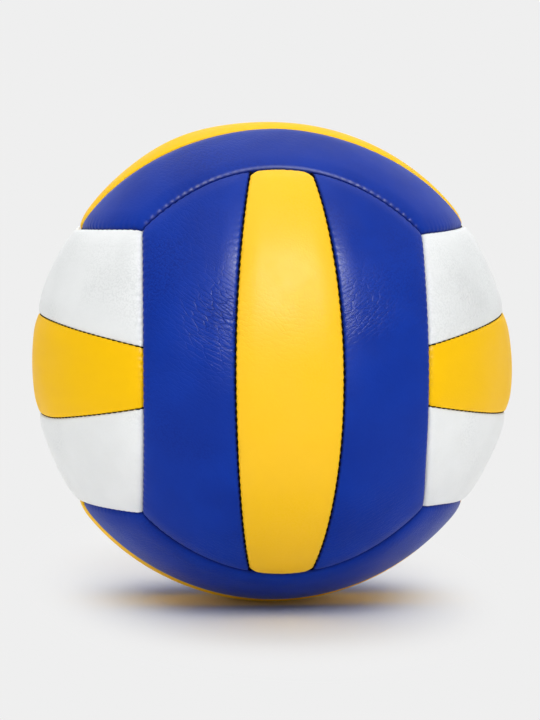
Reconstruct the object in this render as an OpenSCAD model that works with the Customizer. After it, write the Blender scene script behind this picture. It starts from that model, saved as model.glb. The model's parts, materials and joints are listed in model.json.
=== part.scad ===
// Volleyball with eighteen sewn panels round an inflated bladder.
// The cover is six groups of three strips, turned a quarter turn from one group to the next.
// Each panel is a skin turned in at its edges, a foam pad inside it and a lining cloth behind.
// The origin is the ball's centre, +Z is up, -Y is the group with upright strips that faces
// forwards, and the valve is in the middle strip of the back group, on the +Y axis.

/* [Ball] */
// Outside diameter over the crowns of the panels
ball_d = 210; // [190:1:230]

/* [Panels] */
// Thickness of the outer skin, and of its turned-in edge
skin_t = 0.9; // [0.6:0.1:1.2]
// Thickness of the foam pad behind the skin
foam_t = 2.5; // [1.8:0.1:4]
// Thickness of the lining cloth behind the foam
lining_t = 0.4; // [0.2:0.1:0.8]
// Half the angle that a middle strip takes, seen from the ball's centre, in degrees
middle_half_angle = 12.2; // [10:0.1:15]

/* [Seams] */
// Depth of the valley at a seam
seam_depth = 1.6; // [1.2:0.1:2]
// Distance from a seam at which a panel starts to slope down into it
seam_slope_w = 4; // [3.4:0.1:5]
// Distance from that place to the edge of the foam pad, which stops short of the seam
foam_margin = 0.3; // [0.2:0.1:3]
// Gap between the turned-in edges that face each other at a seam
seam_gap = 0.2; // [0.1:0.05:0.4]
// Diameter of the sewing thread
thread_d = 0.7; // [0.4:0.05:0.9]
// Length of bare seam between the end of a thread and the corner it runs to
thread_margin = 2; // [1.2:0.1:4]

/* [Bladder] */
// Wall thickness of the bladder
bladder_t = 0.8; // [0.5:0.1:1.5]

/* [Valve] */
// Outside diameter of the valve's neck, where it passes through the cover
neck_d = 7; // [6.2:0.1:9]
// How far the end of the neck lies below the crown of its panel
neck_recess = 0.4; // [0.2:0.1:1]
// Length of the valve housing along its axis
housing_l = 17; // [14:0.5:22]
// Diameter of the flange that holds the housing to the inside of the bladder
flange_d = 26; // [18:0.5:34]
// Thickness of that flange
flange_t = 1.2; // [0.8:0.1:2]
// Diameter of the plug's stem
plug_d = 4; // [3.6:0.1:4.4]
// Diameter of the plug's head, and of the bead near its other end
plug_head_d = 5.2; // [4.8:0.1:5.6]
// Thickness of the plug's head
plug_head_t = 1; // [0.6:0.1:1.6]
// Diameter of the channel that takes the inflating needle
needle_d = 2; // [1.6:0.1:2.2]
// Diameter of the channel's flared mouth
mouth_d = 3; // [2.6:0.1:3.4]

/* [Hidden] */
// Glue line between bonded layers, and the play between the bladder and the lining
glue_t = 0.05;
bladder_fit = 0.15;
// Play round the valve's neck in the cover, and round the plug in its housing
neck_fit = 0.15;
plug_fit = 0.03;
// Wall of the housing beyond the end of the plug
housing_floor = 1.2;
// Height of the bead round the plug
bead_t = 1.4;
// Depth of the channel's flared mouth
mouth_t = 0.4;
// Diameter of the plug's tail, which passes through the floor of the housing
tail_d = 3;
// Clearance between a thread and the slopes that it lies on
thread_fit = 0.05;
// How far every cutting shape runs past what it cuts
over = 2;
$fn = 96;

ball_r = ball_d / 2;
foam_r = ball_r - skin_t - glue_t;
lining_r = foam_r - foam_t - glue_t;
cover_in_r = lining_r - lining_t;
bladder_r = cover_in_r - bladder_fit;
bladder_in_r = bladder_r - bladder_t;
// The seams between groups lie on cones round the six axes and meet at the corners of a cube.
group_angle = acos(1 / sqrt(3));
// A plane reads as a cone that opens to a right angle.
plane_angle = 90;
// Half the turn that one group's end takes round the group's own axis
end_half_turn = 45;
// Half the turn that a seam between strips takes, and how far a cut along a seam runs past its ends
strip_half_turn = acos(cos(group_angle) / cos(middle_half_angle));
over_turn = 6;
far = ball_d;

// Names of the groups, with the row frame's directions of each one's width, strips and crown.
GROUPS = [
    ["front", [1, 0, 0], [0, 0, 1], [0, -1, 0], ["left", "middle", "right"]],
    ["back", [-1, 0, 0], [0, 0, 1], [0, 1, 0], ["right", "middle", "left"]],
    ["left", [0, 0, 1], [0, 1, 0], [-1, 0, 0], ["lower", "middle", "upper"]],
    ["right", [0, 0, -1], [0, 1, 0], [1, 0, 0], ["upper", "middle", "lower"]],
    ["top", [0, -1, 0], [1, 0, 0], [0, 0, 1], ["back", "middle", "front"]],
    ["bottom", [0, 1, 0], [1, 0, 0], [0, 0, -1], ["front", "middle", "back"]]
];
VALVE_GROUP = 1;
SIDES = [-1, 0, 1];

function panel_name(layer, g, side) = str(layer, "_", GROUPS[g][0], "_", GROUPS[g][4][side + 1]);
function names_of(layer) = [for (g = [0 : len(GROUPS) - 1], s = SIDES) panel_name(layer, g, s)];

// The yellow strips run down the middle of every group, and the side groups have white edges.
function panel_colour(g, side) =
    side == 0 ? "gold" : (GROUPS[g][0] == "left" || GROUPS[g][0] == "right") ? "white" : "mediumblue";

// Turns a group's own frame, with its crown at +Z and its strips along Y, to its place on the ball.
module in_group(g) {
    v = GROUPS[g][1];
    u = GROUPS[g][2];
    w = GROUPS[g][3];
    multmatrix([
        [v[0], u[0], w[0], 0],
        [v[1], u[1], w[1], 0],
        [v[2], u[2], w[2], 0],
        [0, 0, 0, 1]
    ]) children();
}

// Degrees that a length takes on a circle of radius r.
function turn_of(l, r) = l / r * 180 / PI;

// A point at radius r, seen at angle a from the axis, in the half plane of a rotate_extrude.
function at_angle(r, a) = [r * sin(a), r * cos(a)];

// A point of a panel's outside, at a distance from its seam and a depth below the crown.
// side is +1 where the panel lies nearer the axis than the seam, and -1 where it lies beyond it.
function off_seam(a, side, w, depth) = at_angle(ball_r - depth, a - side * turn_of(w, ball_r));

// A profile carried round Z at angle a from it, half_turn to each side of +Y.
module seam_arc(half_turn) {
    rotate([0, 0, plane_angle - half_turn])
        rotate_extrude(angle = 2 * half_turn)
            children();
}

// What slopes the edge of a panel down to its seam, for the layer that lies drop below the skin.
module edge_cutter(a, side, drop, half_turn) {
    crest = off_seam(a, side, seam_slope_w, 0);
    foot = off_seam(a, side, 0, seam_depth);
    slope = foot - crest;
    inward = side * drop * [slope[1], -slope[0]] / norm(slope);
    seam_arc(half_turn + over_turn)
        polygon([crest + inward - slope, foot + inward + slope, off_seam(a, -side, seam_slope_w, -2 * over)]);
}

// Turns a seam that runs round Z to its place on a group, with its middle at the crown.
module at_strip_seam(side) {
    rotate([0, side * middle_half_angle, 0])
        rotate([0, -plane_angle, 0])
            rotate([0, 0, -plane_angle])
                children();
}
module at_long_seam(side) {
    rotate([0, side * plane_angle, 0])
        rotate([0, 0, side * plane_angle])
            children();
}

// A cone round Z from the ball's centre, opened or closed by inset measured square to its wall.
module cone_region(inset) {
    translate([0, 0, inset / sin(group_angle)])
        cylinder(h = far, r1 = 0, r2 = far * tan(group_angle));
}

// The slice of a group that one strip takes, as a prism along the strip.
module strip_region(side, inset) {
    edge = [cos(middle_half_angle), -sin(middle_half_angle)] * inset;
    reach = [sin(middle_half_angle), cos(middle_half_angle)] * far;
    tip = inset / sin(middle_half_angle);
    half = far * tan(middle_half_angle);
    rotate([90, 0, 0])
        linear_extrude(height = 2 * far, center = true)
            if (side == 0)
                polygon([[0, tip], [half, far + tip], [-half, far + tip]]);
            else
                scale([side, 1])
                    polygon([edge, edge + reach, [far, far], [far, edge[1]]]);
}

// One panel's share of the shell between two radii, with square edges inset from its seams.
module panel_shell(side, r_out, r_in, inset) {
    difference() {
        intersection() {
            difference() {
                sphere(r = r_out);
                sphere(r = r_in);
            }
            strip_region(side, inset);
            cone_region(inset);
        }
        if (side != 0)
            rotate([0, side * plane_angle, 0])
                cone_region(-inset);
    }
}

// The same share with its edges sloped down to the seams.
module sloped_shell(side, r_out, r_in, inset) {
    drop = ball_r - r_out;
    difference() {
        difference() {
            difference() {
                panel_shell(side, r_out, r_in, inset);
                for (turn = [0, 180])
                    rotate([0, 0, turn])
                        edge_cutter(group_angle, 1, drop, end_half_turn);
            }
            for (s = side == 0 ? [-1, 1] : [side])
                at_strip_seam(s)
                    edge_cutter(plane_angle, side == 0 ? s : -s, drop, strip_half_turn);
        }
        if (side != 0)
            at_long_seam(side)
                edge_cutter(group_angle, -1, drop, end_half_turn);
    }
}

// The hole through the middle strip of the valve's group.
module valve_hole(g, side) {
    if (g == VALVE_GROUP && side == 0)
        cylinder(h = far, d = neck_d + 2 * neck_fit);
}

// The outer skin of a panel, a shallow tray whose edges turn in along the seams.
module cover_panel(g, side) {
    edge = seam_gap / 2;
    color(panel_colour(g, side))
        in_group(g)
            difference() {
                sloped_shell(side, ball_r, cover_in_r, edge);
                sloped_shell(side, ball_r - skin_t, cover_in_r - over, edge + skin_t);
                valve_hole(g, side);
            }
}

// The foam pad bonded behind the skin, cut short of the seams where the skin slopes down.
module foam_pad(g, side) {
    color("ivory")
        in_group(g)
            difference() {
                panel_shell(side, foam_r, foam_r - foam_t, seam_slope_w + foam_margin);
                valve_hole(g, side);
            }
}

// The woven cloth bonded behind the foam, which reaches the turned-in edges of the skin.
module lining_cloth(g, side) {
    color("gainsboro")
        in_group(g)
            difference() {
                panel_shell(side, lining_r, cover_in_r, seam_gap / 2 + skin_t + glue_t);
                valve_hole(g, side);
            }
}

// Radius at which a thread lies in the valley between the two slopes of a seam.
thread_r = ball_r - seam_depth + thread_d / 2 / cos(atan(seam_depth / seam_slope_w)) + thread_fit;

// A length of thread along a seam at angle a from Z.
module thread_arc(a, half_turn) {
    seam_arc(half_turn)
        translate(at_angle(thread_r, a))
            circle(d = thread_d);
}

// The two threads between the three strips of every group.
module thread_strip_seams() {
    margin_turn = turn_of(thread_margin, ball_r);
    color("black")
        for (g = [0 : len(GROUPS) - 1], s = [-1, 1])
            in_group(g)
                at_strip_seam(s)
                    thread_arc(plane_angle, strip_half_turn - margin_turn);
}

// The threads along the ends of every group, which are the long edges of the groups beside it.
module thread_group_seams() {
    margin_turn = turn_of(thread_margin, ball_r * sin(group_angle));
    color("black")
        for (g = [0 : len(GROUPS) - 1], turn = [0, 180])
            in_group(g)
                rotate([0, 0, turn])
                    thread_arc(group_angle, end_half_turn - margin_turn);
}

// The bladder that holds the air, a rubber shell with a hole for the valve's neck.
module bladder() {
    color("dimgray")
        in_group(VALVE_GROUP)
            difference() {
                sphere(r = bladder_r);
                sphere(r = bladder_in_r);
                cylinder(h = far, d = neck_d);
            }
}

// Places along the valve's axis, as distances from the ball's centre.
neck_top = ball_r - neck_recess;
housing_low = neck_top - housing_l;
head_low = neck_top - plug_head_t;
plug_low = housing_low + housing_floor;
bead_middle = (head_low + plug_low) / 2 - bead_t;

// A ring round the plug's stem, which holds the plug in its housing, or with grow the groove for it.
module bead(grow) {
    translate([0, 0, bead_middle])
        cylinder(h = bead_t + 2 * grow, d = plug_head_d + 2 * grow, center = true);
}

// The moulded rubber housing: a neck through the cover and a flange bonded inside the bladder.
module valve_housing() {
    color("darkslategray")
        in_group(VALVE_GROUP)
            difference() {
                union() {
                    translate([0, 0, housing_low])
                        cylinder(h = housing_l, d = neck_d);
                    intersection() {
                        difference() {
                            sphere(r = bladder_in_r);
                            sphere(r = bladder_in_r - flange_t);
                        }
                        cylinder(h = far, d = flange_d);
                    }
                }
                translate([0, 0, plug_low])
                    cylinder(h = far, d = plug_d + 2 * plug_fit);
                translate([0, 0, head_low])
                    cylinder(h = far, d = plug_head_d + 2 * plug_fit);
                bead(plug_fit);
                cylinder(h = far, d = tail_d + 2 * plug_fit);
            }
}

// The plug that seals the valve, with a head, a bead, a tail and the channel for the needle.
module valve_plug() {
    color("black")
        in_group(VALVE_GROUP)
            difference() {
                union() {
                    translate([0, 0, housing_low])
                        cylinder(h = housing_l, d = tail_d);
                    translate([0, 0, plug_low])
                        cylinder(h = neck_top - plug_low, d = plug_d);
                    translate([0, 0, head_low + plug_fit])
                        cylinder(h = plug_head_t - plug_fit, d = plug_head_d);
                    bead(0);
                }
                translate([0, 0, housing_low - over])
                    cylinder(h = far, d = needle_d);
                translate([0, 0, neck_top - mouth_t])
                    cylinder(h = mouth_t, d1 = needle_d, d2 = mouth_d);
            }
}

for (g = [0 : len(GROUPS) - 1], s = SIDES) {
    cover_panel(g, s);
    foam_pad(g, s);
    lining_cloth(g, s);
}
thread_strip_seams();
thread_group_seams();
bladder();
valve_housing();
valve_plug();
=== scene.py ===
"""Dresses a volleyball: eighteen sewn leather panels, their stitches and the layers behind them.

The cover is six groups of three strips. In a group's own frame v runs across the strips, u along
them and w out through the crown. A point of the cover is a direction from the ball's centre,
cos(phi) * (sin(alpha) * v + cos(alpha) * w) + sin(phi) * u, times a radius, so alpha is how far
across the group it lies and phi how far along. Groups end where the direction is group_angle away
from w, and the strips of a group meet at alpha = plus or minus the group's half_angle. All lengths
are in metres, and lengths that end in _mm are in millimetres.
"""

from __future__ import annotations

import json
import logging
import math
from dataclasses import dataclass, field
from enum import Enum, IntEnum
from typing import Any

import bpy
import numpy as np
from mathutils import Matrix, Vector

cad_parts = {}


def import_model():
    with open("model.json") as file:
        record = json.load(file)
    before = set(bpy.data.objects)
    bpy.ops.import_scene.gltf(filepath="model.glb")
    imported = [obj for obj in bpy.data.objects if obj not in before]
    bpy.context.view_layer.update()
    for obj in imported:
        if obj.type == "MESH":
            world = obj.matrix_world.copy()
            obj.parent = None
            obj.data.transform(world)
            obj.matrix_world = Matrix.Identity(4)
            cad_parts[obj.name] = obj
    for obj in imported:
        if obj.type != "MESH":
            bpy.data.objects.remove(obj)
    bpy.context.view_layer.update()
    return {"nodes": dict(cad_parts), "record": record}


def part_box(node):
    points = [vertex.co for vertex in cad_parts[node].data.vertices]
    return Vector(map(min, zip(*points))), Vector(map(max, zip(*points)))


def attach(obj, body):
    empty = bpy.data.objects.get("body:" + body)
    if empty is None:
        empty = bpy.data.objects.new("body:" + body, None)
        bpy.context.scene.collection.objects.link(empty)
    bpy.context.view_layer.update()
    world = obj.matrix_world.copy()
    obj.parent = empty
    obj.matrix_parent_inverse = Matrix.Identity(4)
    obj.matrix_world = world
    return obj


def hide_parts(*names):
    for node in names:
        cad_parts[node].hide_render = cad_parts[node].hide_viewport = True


LOG = logging.getLogger("volleyball")
MM = 0.001
VALVE_PANEL = "back_middle"
ENDS, EDGES = (0, 1), (2, 3)

Mesh = tuple[np.ndarray, list[np.ndarray]]
Paint = tuple[float, float, float, float]
Socket = bpy.types.NodeSocket


def heading(azimuth: float, elevation: float) -> np.ndarray:
    """Direction at an azimuth of 0 for the front and 90 for +X, and an elevation of 90 for +Z."""
    a, e = math.radians(azimuth), math.radians(elevation)
    return np.array([math.sin(a) * math.cos(e), -math.cos(a) * math.cos(e), math.sin(e)])


def unit(vectors: np.ndarray) -> np.ndarray:
    """The vectors, scaled to a length of 1."""
    return vectors / np.linalg.norm(vectors, axis=-1, keepdims=True)


class Strip(Enum):
    """Which strip of a group a panel is, as its place across the group."""

    LOW = -1
    MIDDLE = 0
    HIGH = 1


class Sewing(Enum):
    """Kinds of seam, by what they join."""

    STRIP = "coloured strips, with plain stitches"
    PALE = "pale strips, with stitches tucked in"
    GROUP = "groups, sewn from behind"


class Colour(Enum):
    """Skin colours, by the material slot that each has in the record."""

    BLUE = "blue_skin"
    YELLOW = "yellow_skin"
    WHITE = "white_skin"


class Wave(IntEnum):
    """What each field of slow waves moves."""

    X = 0
    Y = 1
    Z = 2
    SWELL = 3
    HOLD = 4
    SWAY = 5


@dataclass(frozen=True)
class Group:
    """A group of three strips, with its own axes in the ball's frame."""

    name: str
    across: tuple[float, float, float]
    along: tuple[float, float, float]
    crown: tuple[float, float, float]
    strips: tuple[str, str, str]
    half_angle: float = math.radians(12.4)

    def axes(self) -> tuple[np.ndarray, np.ndarray, np.ndarray]:
        """The axes v, u and w as arrays."""
        return np.array(self.across), np.array(self.along), np.array(self.crown)

    def panel_name(self, strip: Strip) -> str:
        """Name of one strip of this group, as in front_left."""
        return f"{self.name}_{self.strips[strip.value + 1]}"

    def colour(self, strip: Strip) -> Colour:
        """Yellow runs down the middle, and the groups at the sides have white edges."""
        outer = Colour.WHITE if self.name in ("left", "right") else Colour.BLUE
        return Colour.YELLOW if strip is Strip.MIDDLE else outer

    def sewing(self) -> Sewing:
        """How the strips of this group are sewn to each other."""
        return Sewing.PALE if self.colour(Strip.LOW) is Colour.WHITE else Sewing.STRIP


GROUPS = (
    Group("front", (1, 0, 0), (0, 0, 1), (0, -1, 0), ("left", "middle", "right"), math.radians(12.45)),
    Group("back", (-1, 0, 0), (0, 0, 1), (0, 1, 0), ("right", "middle", "left")),
    Group("left", (0, 0, 1), (0, 1, 0), (-1, 0, 0), ("lower", "middle", "upper"), math.radians(12.1)),
    Group("right", (0, 0, -1), (0, 1, 0), (1, 0, 0), ("upper", "middle", "lower"), math.radians(12.1)),
    Group("top", (0, -1, 0), (1, 0, 0), (0, 0, 1), ("back", "middle", "front")),
    Group("bottom", (0, 1, 0), (1, 0, 0), (0, 0, -1), ("front", "middle", "back")),
)


@dataclass(frozen=True)
class BallSizes:
    """Sizes of the ball and of its panels."""

    radius: float
    lining_radius: float
    group_angle: float = math.acos(1 / math.sqrt(3))
    corner_angle: float = math.radians(45)
    skin: float = 0.9 * MM
    play: float = 0.08 * MM
    edge_radius_drop: float = 3.6 * MM
    edge_height: float = 0.4 * MM
    neck_hole: float = 3.65 * MM

    def end_angle(self, alpha: np.ndarray | float) -> np.ndarray:
        """phi at which a group ends, where cos(phi) * cos(alpha) is cos(group_angle)."""
        return np.arccos(np.clip(math.cos(self.group_angle) / np.cos(alpha), -1, 1))


@dataclass(frozen=True)
class SeamSection:
    """How a panel's edge rolls down into a seam, and how the stitches gather it.

    gap and notch are how far the edge stands back from the seam, along it and at each stitch.
    thread_depth is how far below the crown the stitches lie. corner and middle_corner are the radii
    of an outer strip's corners and of a middle strip's corners at this seam.
    """

    shoulder_width: float
    shoulder_drop: float
    gap: float
    notch: float
    thread_depth: float
    thread_radius: float
    corner: float
    middle_corner: float
    roll_width: float = 9.0 * MM
    roll_drop: float = 1.0 * MM
    roll_power: float = 2.0
    pitch: float = 3.3 * MM
    pucker_drop: float = 0.14 * MM
    pucker_width: float = 1.2 * MM
    pleat_drop: float = 0.04 * MM
    pleat_width: float = 4.0 * MM
    notch_width: float = 0.9 * MM

    def gather(self, run: np.ndarray) -> np.ndarray:
        """How hard the skin is pulled in along a seam: 1 at a stitch and 0 halfway to the next."""
        return (0.5 + 0.5 * np.cos(2 * math.pi * run / self.pitch)) ** 2

    def drop(self, x: np.ndarray) -> np.ndarray:
        """Depth of the rolled edge, by a broad power curve and then a quarter of an ellipse.

        Args:
            x: Distances from the seam.

        Returns:
            Depths below the crown.
        """
        broad = self.roll_drop * np.clip(1 - x / self.roll_width, 0, 1) ** self.roll_power
        reach = np.clip(1 - x / self.shoulder_width, 0, 1)
        return broad + self.shoulder_drop * (1 - np.sqrt(np.clip(1 - reach**2, 0, 1)))

    def pull(self, x: np.ndarray, run: np.ndarray) -> np.ndarray:
        """Depth of the puckers at the stitches and of the longer, weaker pleats behind them."""
        near = self.pucker_drop * np.exp(-((x / self.pucker_width) ** 2))
        return self.gather(run) * (near + self.pleat_drop * np.exp(-((x / self.pleat_width) ** 2)))


SECTIONS = {
    Sewing.STRIP: SeamSection(
        shoulder_width=1.4 * MM, shoulder_drop=0.9 * MM, gap=0.18 * MM, notch=0.22 * MM,
        thread_depth=1.6 * MM, thread_radius=0.42 * MM, corner=1.5 * MM, middle_corner=4.0 * MM,
        pleat_drop=0.025 * MM,
    ),
    Sewing.PALE: SeamSection(
        shoulder_width=1.2 * MM, shoulder_drop=0.8 * MM, gap=0.13 * MM, notch=0.05 * MM,
        thread_depth=1.6 * MM, thread_radius=0.3 * MM, corner=0.9 * MM, middle_corner=1.0 * MM,
        pucker_drop=0.06 * MM,
    ),
    Sewing.GROUP: SeamSection(
        shoulder_width=2.3 * MM, shoulder_drop=1.3 * MM, gap=0.03 * MM, notch=0.0,
        thread_depth=3.1 * MM, thread_radius=0.3 * MM, corner=0.7 * MM, middle_corner=0.7 * MM,
        pucker_drop=0.15 * MM, pucker_width=1.4 * MM, pleat_drop=0.07 * MM,
    ),
}


@dataclass(frozen=True)
class Seam:
    """One seam as seen from a panel: a circle at an angle from an axis, and the panel's side of it.

    side is +1 where the panel lies nearer the axis, and -1 where it lies beyond the seam.
    """

    sewing: Sewing
    axis: np.ndarray
    start: np.ndarray
    cross: np.ndarray
    angle: float
    side: int

    @property
    def section(self) -> SeamSection:
        """The shape of the panels' edges along this seam."""
        return SECTIONS[self.sewing]

    def distance(self, d: np.ndarray) -> np.ndarray:
        """Angle from the seam into the panel for directions d."""
        return self.side * (self.angle - np.arccos(np.clip(d @ self.axis, -1, 1)))

    def run(self, d: np.ndarray) -> np.ndarray:
        """Angle along the seam from its middle, as a share of the ball's radius."""
        return math.sin(self.angle) * np.arctan2(d @ self.cross, d @ self.start)

    def away(self, d: np.ndarray) -> np.ndarray:
        """Unit tangents at d that point from the seam into the panel."""
        lean = self.side * (self.axis - (d @ self.axis)[..., None] * d)
        return lean / np.maximum(np.linalg.norm(lean, axis=-1, keepdims=True), 1e-9)


def panel_seams(group: Group, strip: Strip, ball: BallSizes) -> list[Seam]:
    """The four seams round a panel.

    Args:
        group: The panel's group.
        strip: Which of its strips the panel is.
        ball: Sizes of the ball.

    Returns:
        The seams at its two ends, then those at its edges across the group.
    """
    v, u, w = group.axes()
    lam = group.half_angle
    seams = [Seam(Sewing.GROUP, w, sign * u, v, ball.group_angle, 1) for sign in (-1, 1)]

    def strip_seam(k: int, side: int) -> Seam:
        """The plane through u at k times half_angle, whose axis points away from the middle."""
        axis = k * math.cos(lam) * v - math.sin(lam) * w
        middle = k * math.sin(lam) * v + math.cos(lam) * w
        return Seam(group.sewing(), axis, middle, u, math.pi / 2, side)

    if strip is Strip.MIDDLE:
        return seams + [strip_seam(-1, -1), strip_seam(1, -1)]
    k = strip.value
    return seams + [strip_seam(k, 1), Seam(Sewing.GROUP, k * v, w, u, ball.group_angle, -1)]


def graded(length: float, fine: float, coarse: float, growth: float) -> np.ndarray:
    """Places along a length, close together at both ends and wider in the middle.

    The step at a distance x from the nearer end is fine + growth * x, and at most coarse.

    Args:
        length: The length.
        fine: Step at the ends.
        coarse: Widest step.
        growth: How fast the step grows.

    Returns:
        Shares of the length, from 0 to 1.
    """
    samples, fewest = 4001, 4
    x = np.linspace(0, length, samples)
    step = np.minimum(fine + growth * np.minimum(x, length - x), coarse)
    count = np.concatenate([[0], np.cumsum(np.diff(x) / ((step[1:] + step[:-1]) / 2))])
    total = max(int(round(count[-1])), fewest)
    return np.interp(np.linspace(0, count[-1], total + 1), count, x / length)


@dataclass(frozen=True)
class Spot:
    """A round place on the ball that fades off all round. Its angles are in degrees."""

    azimuth: float
    elevation: float
    spread: float

    def share(self, d: np.ndarray) -> np.ndarray:
        """1 at the centre, falling as exp(-(angle / spread) squared)."""
        near = d @ heading(self.azimuth, self.elevation)
        return np.exp(-(1 - near) / (1 - math.cos(math.radians(self.spread))))


@dataclass(frozen=True)
class Creep(Spot):
    """A place where the sewn cover has crept sideways, or stands in or out."""

    right_mm: float = 0.0
    up_mm: float = 0.0
    out_mm: float = 0.0

    def sideways(self) -> np.ndarray:
        """The move along the surface, to the right and up as seen from outside.

        Returns:
            A vector.
        """
        a, e = math.radians(self.azimuth), math.radians(self.elevation)
        right = np.array([math.cos(a), math.sin(a), 0.0])
        up = np.array([-math.sin(a) * math.sin(e), math.cos(a) * math.sin(e), math.cos(e)])
        return (self.right_mm * right + self.up_mm * up) * MM


@dataclass(frozen=True)
class FoldPatch(Spot):
    """A place where folds show, and how deep they are at its middle."""

    depth: float = 1.0


CREEPS = (
    Creep(0, 56, 24, up_mm=3.4),
    Creep(0, 78, 14, up_mm=3.0),
    Creep(0, -56, 24, up_mm=-5.0),
    Creep(-45, 36, 14, up_mm=1.4),
    Creep(-24, 50, 12, up_mm=1.4),
    Creep(45, 35, 14, up_mm=-0.8),
    Creep(-42, -40, 14, up_mm=-0.4),
    Creep(45, -35, 14, up_mm=2.0),
    Creep(2, 0, 40, right_mm=0.25),
    Creep(-38, 3, 28, right_mm=-1.3),
    Creep(38, 0, 30, right_mm=1.3),
    Creep(53, 26, 10, right_mm=1.2),
    Creep(53, -29, 10, right_mm=1.2),
    Creep(-62, 0, 24, up_mm=-0.4),
    Creep(-72, -11, 10, up_mm=-0.5),
    Creep(-72, 44, 14, right_mm=-5.0),
    Creep(70, 46, 13, right_mm=3.5),
    Creep(-90, 67, 14, out_mm=1.6),
    Creep(-92, 0, 42, out_mm=-0.7),
    Creep(-92, 33, 9, out_mm=-1.1),
    Creep(-90, -27, 12, out_mm=-0.4),
    Creep(90, -8, 15, out_mm=1.7),
    Creep(90, 25, 9, out_mm=-0.8),
)


@dataclass
class Ripple:
    """Slow unevenness of a sewn ball: a sum of waves over directions, the same for every panel."""

    seed: int = 11
    waves: int = 14
    low: float = 2.5
    high: float = 9.0
    shift: float = 0.3 * MM
    swell: float = 0.22 * MM
    hold_swing: float = 1.1
    hold_range: tuple[float, float] = (0.3, 1.7)
    fields: list[tuple[np.ndarray, np.ndarray, np.ndarray]] = field(default_factory=list)

    def __post_init__(self) -> None:
        """Draws the waves' courses, strengths and phases."""
        rng = np.random.default_rng(self.seed)
        for _ in Wave:
            course = unit(rng.normal(size=(self.waves, 3)))
            number = rng.uniform(self.low, self.high, self.waves)
            strength = rng.normal(size=self.waves) * self.low / number
            phase = rng.uniform(0, 2 * math.pi, self.waves)
            self.fields.append((course * number[:, None], phase, strength))

    def value(self, d: np.ndarray, wave: Wave) -> np.ndarray:
        """One field of waves at directions d, of about unit size."""
        course, phase, strength = self.fields[wave]
        return np.sin(d @ course.T + phase) @ strength / math.sqrt(self.waves / 2)

    def shifted(self, d: np.ndarray, radius: float) -> np.ndarray:
        """Moves directions sideways by the waves and creeps, so that no seam is a compass line.

        Args:
            d: Directions on the cover.
            radius: Radius of the ball.

        Returns:
            The moved directions.
        """
        move = np.stack([self.value(d, wave) for wave in (Wave.X, Wave.Y, Wave.Z)], axis=-1) * self.shift
        for creep in CREEPS:
            move += creep.share(d)[..., None] * creep.sideways()
        return unit(d + move / radius)

    def bulge(self, d: np.ndarray) -> np.ndarray:
        """Adds up how far the waves and creeps lift the cover.

        Args:
            d: Directions on the cover.

        Returns:
            Heights.
        """
        height = self.swell * self.value(d, Wave.SWELL)
        for creep in CREEPS:
            height += creep.share(d) * creep.out_mm * MM
        return height

    def hold(self, d: np.ndarray) -> np.ndarray:
        """How hard each stretch of seam is drawn up, about 1."""
        return np.clip(1 + self.hold_swing * self.value(d, Wave.HOLD), *self.hold_range)


@dataclass(frozen=True)
class Creases:
    """Where bent leather shows folds, and the lines along which they lie.

    The folds rise away from a group's middle. They are faint everywhere and deep in patches.
    """

    stretch: float = 2.8
    rise: float = 0.6
    blunt: float = 20.0 * MM
    wander: float = 0.3 * MM
    wander_rate: float = 8.0
    faint: float = 0.1
    faint_swing: float = 0.3
    faint_rate: float = 2.0
    faint_range: tuple[float, float] = (0.06, 0.3)
    patches: tuple[FoldPatch, ...] = (
        FoldPatch(-17, 16, 7.5, 1.1),
        FoldPatch(19, 17, 7, 0.6),
        FoldPatch(0, 12, 7, 0.6),
        FoldPatch(55, 17, 8, 1.2),
        FoldPatch(-30, 36, 9, 0.4),
    )

    def place(self, d: np.ndarray, across: np.ndarray, along: np.ndarray, ripple: Ripple) -> np.ndarray:
        """Place across and along the folds, squeezed so that their cells are as long as wide.

        Args:
            d: Directions on the cover.
            across: How far across their group they lie.
            along: How far along it.
            ripple: Waves that let the folds wander.

        Returns:
            Two lengths for each direction.
        """
        warp = self.wander * ripple.value(self.wander_rate * d, Wave.SWAY)
        return np.stack([
            across / self.stretch + warp,
            along - self.rise * np.hypot(across, self.blunt) + warp,
        ], axis=-1)

    def strength(self, d: np.ndarray, ripple: Ripple) -> np.ndarray:
        """How deep the folds are.

        Args:
            d: Directions on the cover.
            ripple: Waves by which the faint folds come and go.

        Returns:
            About 1 where the folds show most.
        """
        swing = self.faint_swing * ripple.value(self.faint_rate * d, Wave.HOLD)
        deep = np.clip(self.faint + swing, *self.faint_range)
        for patch in self.patches:
            deep += patch.depth * patch.share(d)
        return deep


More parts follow.
